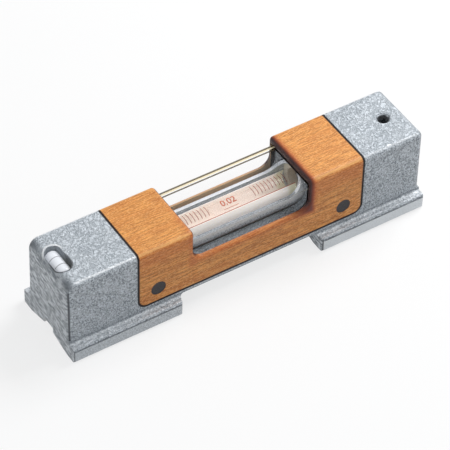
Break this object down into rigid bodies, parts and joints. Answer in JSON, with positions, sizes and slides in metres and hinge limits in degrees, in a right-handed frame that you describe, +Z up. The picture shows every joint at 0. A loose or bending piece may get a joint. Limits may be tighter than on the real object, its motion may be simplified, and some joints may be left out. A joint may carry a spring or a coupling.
{
  "type": "precision machinist level",
  "caption": "Precision machinist level with a prismatic base, a tilting main vial under a clear hood in a beech saddle, a cross vial and an adjusting screw.",
  "frame": {"origin": "middle of the base, in the plane of the feet's flats", "axes": "+X along the level, towards the end with the adjusting screw; +Z up; the side that the picture shows at -Y"},
  "size_m": [0.2, 0.048, 0.0467],
  "materials": {
    "enamel": "hammertone enamel on cast iron, the base ground bare",
    "beech": "lacquered beech",
    "acrylic": "clear, polished",
    "black_plastic": "matt",
    "gasket": "matt",
    "carrier_metal": "satin",
    "cap_metal": "turned",
    "steel": "blackened",
    "glass": "clear",
    "spirit": "clear liquid",
    "bubble": "air",
    "plaster": "matt plaster",
    "white_enamel": "white enamel"
  },
  "bodies": {
    "level": {"body_casting": "enamel", "wood_cover": "beech", "saddle_gasket": "gasket", "clear_cover": "acrylic", "hood_seal_left": "gasket", "hood_seal_right": "gasket", "cover_screws": "steel", "plug_front_left": "black_plastic", "plug_front_right": "black_plastic", "plug_back_left": "black_plastic", "plug_back_right": "black_plastic", "pivot_pin": "steel", "return_spring": "steel", "cross_vial": "glass", "cross_spirit": "spirit", "cross_vial_bed": "plaster"},
    "carrier": {"vial_carrier": "carrier_metal", "pivot_end_cap": "cap_metal", "adjusting_end_cap": "cap_metal", "main_vial": "glass", "main_spirit": "spirit", "plaster_ring_left": "plaster", "plaster_ring_right": "plaster", "white_sleeve": "white_enamel"},
    "main_bubble": {"main_bubble": "bubble"},
    "cross_bubble": {"cross_bubble": "bubble"},
    "pad": {"thrust_pad": "steel"},
    "screw": {"adjusting_screw": "steel"}
  },
  "joints": [
    {"name": "carrier_tilt", "type": "hinge", "parent": "level", "child": "carrier", "pos_m": [-0.057, 0, 0.0308], "axis": [0, 1, 0], "range_deg": [-0.196, 0.196], "deforming": ["return_spring"]},
    {"name": "main_bubble_slide", "type": "slide", "parent": "carrier", "child": "main_bubble", "axis": [1, 0, 0], "range_m": [-0.018, 0.018], "deforming": ["main_spirit"]},
    {"name": "cross_bubble_slide", "type": "slide", "parent": "level", "child": "cross_bubble", "axis": [0, 1, 0], "range_m": [-0.002, 0.002], "deforming": ["cross_spirit"]},
    {"name": "screw_travel", "type": "slide", "parent": "level", "child": "pad", "axis": [0, 0, 1], "range_m": [-0.00051, 0.00051]},
    {"name": "screw_turn", "type": "hinge", "parent": "pad", "child": "screw", "pos_m": [0.089, 0, 0.0388], "axis": [0, 0, 1], "range_deg": [-360, 360]}
  ],
  "couplings": [
    {"joint": "screw_turn", "follows": "carrier_tilt", "ratio": -1834.7},
    {"joint": "screw_travel", "follows": "carrier_tilt", "m_per_rad": -0.146}
  ]
}
